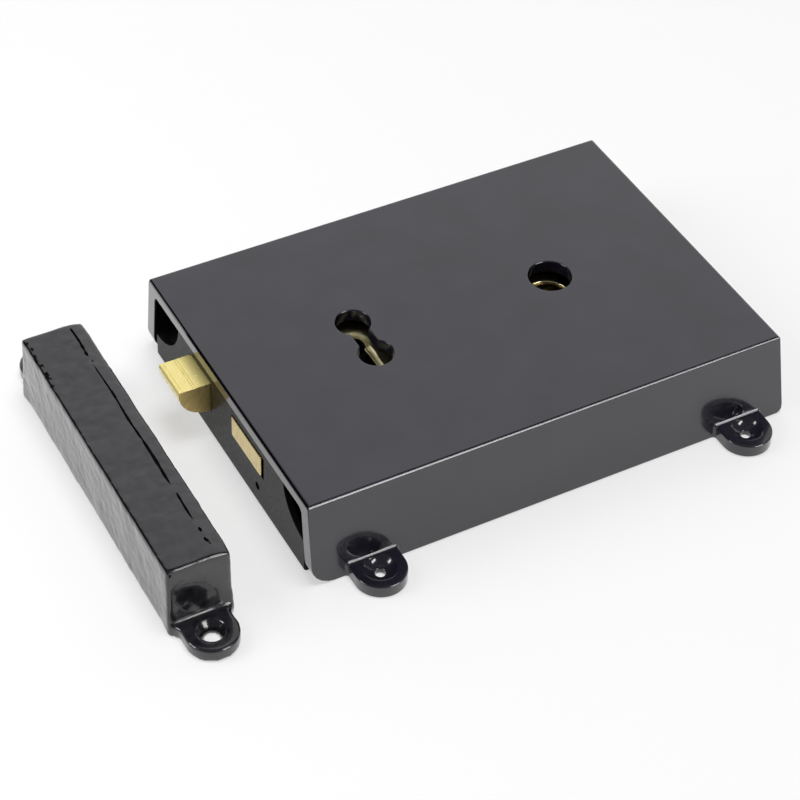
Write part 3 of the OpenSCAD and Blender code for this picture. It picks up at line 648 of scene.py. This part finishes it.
# %% Keep
keep_sink_rim, keep_sink_depth = 0.0045, 0.0030
keep_holes = Vector(mounts["keep_screw_holes"]["pos_m"])
half_spacing = Vector((0, mounts["keep_screw_holes"]["dims"]["spacing_y_mm"] / 2000, 0))
keep_casting = welded_copy("keep", "keep_casting")
for hole in (keep_holes - half_spacing, keep_holes + half_spacing):
    dished(keep_casting, hole, keep_sink_rim, keep_sink_depth)
modified(keep_casting, "REMESH", mode="VOXEL", voxel_size=0.00045)
modified(keep_casting, "SMOOTH", factor=0.5, iterations=3)
box_group = grouped(keep_casting, "box", in_box)
skin_group = grouped(keep_casting, "skin", on_skin)
corner_group = grouped(keep_casting, "corners", by_mouth_corner)
root_group = grouped(keep_casting, "lug_roots", by_lug_root)
modified(keep_casting, "SMOOTH", factor=0.5, iterations=16, vertex_group=box_group)
modified(keep_casting, "SMOOTH", factor=0.5, iterations=40, vertex_group=corner_group)
modified(keep_casting, "SMOOTH", factor=0.5, iterations=10, vertex_group=root_group)
for name, size, depth, group in (
    ("lumps", 0.009, 0.0003, box_group), ("grain", 0.0025, 0.0002, skin_group),
):
    lumps = bpy.data.textures.new(name, "CLOUDS")
    lumps.noise_scale = size
    lumps.noise_depth = 1
    modified(
        keep_casting, "DISPLACE", texture=lumps, texture_coords="LOCAL",
        strength=-depth, mid_level=0.0, vertex_group=group,
    )
print("keep points:", len(keep_casting.data.vertices))

# %% [markdown]
# ### The keep's screw holes
# Smoothing opens the screw holes a little, so the points of each sink and hole are drawn in again
# about the axis of the hole.

# %% Keep holes
sink_reach, sink_top = 0.0056, 0.0045
drawn_in = 0.88
for hole in (keep_holes - half_spacing, keep_holes + half_spacing):
    only(keep_casting)
    for v in keep_casting.data.vertices:
        v.select = math.hypot(v.co.x - hole.x, v.co.y - hole.y) < sink_reach and v.co.z < sink_top
    bpy.ops.object.mode_set(mode="EDIT")
    bpy.ops.transform.resize(value=(drawn_in, drawn_in, 1), center_override=hole)
    bpy.ops.object.mode_set(mode="OBJECT")
    print("hole at", [round(v * 1000, 2) for v in hole])

# %% [markdown]
# ### The crease on the keep
# Where the slope toward the mouth begins, the enamel has left an uneven, broken crease. A few
# thin paths follow that line, and cutting them out leaves the hollow. Each run has a start and an
# end along the keep, and the shares of the full radius that it swells and shrinks through.

# %% Where the crease runs
slope_width = 0.0046
slope_start_drop = 0.0005
crease_x = keep_high.x - slope_width
crease_z = keep_high.z - slope_start_drop
crease_radius = 0.0012
crease_sway = 0.00012
crease_runs = [
    (0.0475, 0.0330, (0.10, 0.40, 0.38, 0.40, 0.44, 0.38, 0.50, 0.30, 0.52, 0.10)),
    (0.0325, -0.0250, (
        0.10, 0.24, 0.30, 0.28, 0.32, 0.30, 0.34, 0.32, 0.34, 0.42,
        0.32, 0.44, 0.36, 0.50, 0.44, 0.54, 0.40, 0.46, 0.32, 0.10,
    )),
    (-0.0255, -0.0380, (0.10, 0.38, 0.32, 0.40, 0.30, 0.10)),
    (-0.0400, -0.0430, (0.10, 0.52, 0.10)),
    (-0.0440, -0.0465, (0.10, 0.46, 0.10)),
]
print("runs of the crease:", len(crease_runs))

# %% Crease
keep_smooth_under = math.radians(50)
for start, end, radii in crease_runs:
    bpy.ops.object.select_all(action="DESELECT")
    bpy.ops.curve.primitive_nurbs_path_add()
    run = bpy.context.object
    run.data.splines.clear()
    line = run.data.splines.new("POLY")
    line.points.add(len(radii) - 1)
    for i, radius in enumerate(radii):
        along = i / (len(radii) - 1)
        sway = crease_sway * math.sin(7 * i + 900 * start)
        line.points[i].co = (crease_x + sway, start + (end - start) * along, crease_z, 1)
        line.points[i].radius = radius
    run.data.bevel_depth = crease_radius
    run.data.bevel_resolution = 2
    run.data.use_fill_caps = True
    only(run)
    bpy.ops.object.convert(target="MESH")
    modified(keep_casting, "BOOLEAN", operation="DIFFERENCE", solver="EXACT", object=run)
    only(run)
    bpy.ops.object.delete()
only(keep_casting)
bpy.ops.object.shade_smooth_by_angle(angle=keep_smooth_under)
set_in_place(keep_casting, "keep", "keep", keep_enamel)

# %% [markdown]
# ### The painted dark edge of the keep
# Along the upper edge away from the lock a dull black is painted on the faces that lean between
# the top and the side, a painted dark reflection, in a ragged line that is widest at the far
# corner. The walls of the crease get the same dull black as painted shade.

# %% Painted shade black
painted_shade_black, tree, shader, place = start_finish("painted_shade_black")
tone = shades(tree, noise(tree, place, 900, 3), (0.001, 0.001, 0.001), (0.004, 0.004, 0.004))
tree.links.new(tone, shader.inputs["Base Color"])
gloss = ranged(tree, noise(tree, place, 700, 3), 0.3, 0.7, 0.45, 0.6)
tree.links.new(gloss, shader.inputs["Roughness"])
shader.inputs["Specular IOR Level"].default_value = 0.05
# This dull black paints dark reflections and shade on some faces of the keep.
keep_casting.data.materials.append(painted_shade_black)
print("paint:", painted_shade_black.name)

# %% Painted dark edge
edge_reach, edge_lean_low, edge_lean_high = 0.003, 25, 56
ragged_from, ragged_run, ragged_to_metre, ragged_level = 0.020, 0.012, 520, 0.15
ragged_lean_low, ragged_lean_high = 24, 20
patch_reach, patch_over, patch_lean_low, patch_lean_high = 0.0022, 0.25, -8, 60
crease_reach, crease_half_length = 0.0006, 0.048
painted_shade_faces = 0
for face in keep_casting.data.polygons:
    lean = math.degrees(math.atan2(-face.normal.x, face.normal.z))
    in_from_edge = math.hypot(face.center.x - keep_low.x, face.center.z - keep_high.z)
    toward_corner = limited((face.center.y - ragged_from) / ragged_run)
    ragged = toward_corner * max(0.0, mathutils.noise.noise(face.center * ragged_to_metre) + ragged_level)
    lean_low = edge_lean_low - ragged_lean_low * ragged
    lean_high = edge_lean_high + ragged_lean_high * ragged
    on_edge = in_from_edge < edge_reach and lean_low < lean < lean_high
    ragged_patch = ragged > patch_over and in_from_edge < patch_reach and patch_lean_low < lean < patch_lean_high
    by_crease = math.hypot(face.center.x - crease_x, face.center.z - crease_z) < crease_reach
    under_top = face.center.z < crease_z + near and abs(face.center.y) < crease_half_length
    # Painted dark reflection on the edge and painted shade in the crease: these faces get the dull black.
    if on_edge or ragged_patch or (by_crease and under_top):
        face.material_index = 1
        painted_shade_faces += 1
print("dull faces:", painted_shade_faces)

# %% [markdown]
# ### The inside of the case
# The inside of the box gets a dull black as painted shade, so that it stays dark. Every face that
# lies behind the forend and under the front face gets that finish, and the walls of the keyhole
# and the spindle hole stay glossy.

# %% Painted shade inside
face_depth = 0.0035
inner_half = 0.0512
rear_wall = 0.0033
forend_depth = 0.0004
foot = 0.0002
# Painted shade: the faces inside the box get the dull black.
case_casting.data.materials.append(painted_shade_black)
inside_faces = 0
for face in case_casting.data.polygons:
    under_face = face.center.z < case_high.z - face_depth
    above_foot = face.center.z > case_low.z + foot
    between_ends = case_low.x + forend_depth < face.center.x < case_high.x - rear_wall
    between_sides = abs(face.center.y) < inner_half
    if under_face and above_foot and between_ends and between_sides:
        face.material_index = 1
        inside_faces += 1
print("dull faces inside the case:", inside_faces)

# %% [markdown]
# ## The bolts and the forend
# The brass bolts have clean but not razor edges, and so has the forend plate around them. A small
# bevel on welded copies catches the light along those edges. The rim of the inner keyhole is
# rolled over, so its bevel is wide.

# %% Rims of the inner cover
cover_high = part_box("cover_plate")[1].z
key_x, key_middle = -0.01184, 0.0023
key_half_width, key_half_length = 0.0065, 0.0145
rim_roll = 0.0012
spindle = Vector(mounts["spindle_square"]["pos_m"])
bearing_reach = 0.008


def by_keyhole(co):
    """True for the points of the cover plate at its keyhole."""
    return abs(co.x - key_x) < key_half_width and abs(co.y - key_middle) < key_half_length


def rolled_rim(edge):
    """True for the upper rim of the keyhole in the cover plate."""
    middle = (edge.verts[0].co + edge.verts[1].co) / 2
    return middle.z > cover_high - near and by_keyhole(middle)


def bearing_rim(edge):
    """True for the upper rim of the follower's bearing in the cover plate."""
    middle = (edge.verts[0].co + edge.verts[1].co) / 2
    away = math.hypot(middle.x - spindle.x, middle.y - spindle.y)
    return middle.z > cover_high - near and away < bearing_reach


print("cover plate's top in mm:", round(cover_high * 1000, 2))

# %% Bolts, forend and the brass inside
softened = {
    "latch_bolt": ("latch_head", "latch", "brass", latch_brass, 0.00007, []),
    "dead_bolt": ("dead_bolt_bar", "dead_bolt", "brass", bolt_brass, 0.0002, []),
    "chassis": ("forend_and_plate", "lock", "black_steel", satin_black, 0.00015, []),
    "cover_plate": (
        "inner_cover", "lock", "brass", plate_brass, 0.00012,
        [(rim_roll, rolled_rim), (0.0004, bearing_rim)],
    ),
    # The follower gets a darkened brass, a painted shade for the deep inside of the box.
    "follower": ("follower_hub", "follower", "brass", follower_shade_brass, 0.0001, []),
}
for node, (name, body, slot, finish, width, special) in softened.items():
    piece = welded_copy(node, name)
    rounded_edges(piece, 3, width, special)
    set_in_place(piece, node, body, finish)

# %% [markdown]
# ### Painted highlight and painted shade on the brass
# The rolled rim is drawn out wide, so the higher a point of that rim lies, the farther it is drawn
# out sideways, and it gets a brighter brass as a painted highlight. The flat of the plate round the
# follower is darkened as painted shade. The two ends of the latch keep the saw's lines and are
# darkened as painted shade. Each of these is a second finish on some faces.

# %% Painted highlight and shade on the brass
inner_cover = bpy.data.objects["inner_cover"]
drawn_out = 0.28
follower_side = 0.03
flat_up, roll_up = 0.98, 0.05
for v in inner_cover.data.vertices:
    rise = max(0.0, (v.co.z - cover_high + rim_roll) / rim_roll)
    if by_keyhole(v.co):
        v.co.x += (v.co.x - key_x) * drawn_out * rise
# Painted shade on the flat round the follower, and a painted highlight on the rolled rim.
inner_cover.data.materials.append(painted_shade_brass)
inner_cover.data.materials.append(painted_highlight_brass)
for face in inner_cover.data.polygons:
    on_roll = face.center.z > cover_high - rim_roll and roll_up < face.normal.z < flat_up
    if face.normal.z > flat_up and face.center.x > key_x + follower_side:
        face.material_index = 1
    if by_keyhole(face.center) and on_roll:
        face.material_index = 2
painted_highlight = sum(face.material_index == 2 for face in inner_cover.data.polygons)
print("rubbed faces:", painted_highlight)

# %% Sawn ends of the latch, darkened as painted shade
latch_head = bpy.data.objects["latch_head"]
sawn_lean = 0.9
# The sawn ends get a darker brass as painted shade.
latch_head.data.materials.append(sawn_shade_brass)
for face in latch_head.data.polygons:
    if abs(face.normal.y) > sawn_lean:
        face.material_index = 1
print("sawn faces:", sum(face.material_index == 1 for face in latch_head.data.polygons))

# %% [markdown]
# ## The springs inside
# A spring changes its shape as the lock works. The coil behind the latch is a copy of its solid
# that rides on the lock as it stands. A leaf spring keeps its root in its lever and its tip on the
# pin, and bends between them. Each is a copy of its solid, and the edges of the leaves are cut
# finer first, so that they bend in a curve.

# %% Coil spring
coil_smooth_under = math.radians(65)
latch_coil = welded_copy("latch_spring", "latch_coil")
bpy.ops.object.shade_smooth_by_angle(angle=coil_smooth_under)
set_in_place(latch_coil, "latch_spring", "lock", plain_steel)
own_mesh(latch_coil)

# %% Leaf springs
leaf_cuts = 5
bend_from, bend_to = 0.25, 0.85
for number in (1, 2):
    leaf = welded_copy(f"lever_spring_{number}", f"leaf_{number}")
    bpy.ops.object.mode_set(mode="EDIT")
    bpy.ops.mesh.select_all(action="SELECT")
    bpy.ops.mesh.subdivide(number_cuts=leaf_cuts)
    bpy.ops.object.mode_set(mode="OBJECT")
    bpy.ops.object.shade_smooth_by_angle(angle=smooth_under)
    leaf.data.materials.clear()
    leaf.data.materials.append(plain_steel)
    tip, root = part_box(f"lever_spring_{number}")
    bend_start, bend_end = tuple(root.lerp(tip, bend_from)), tuple(root.lerp(tip, bend_to))
    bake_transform(leaf, f"lever_{number}", "lock", start=bend_start, end=bend_end)
    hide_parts(f"lever_spring_{number}")
    print(leaf.name, "faces:", len(leaf.data.polygons))
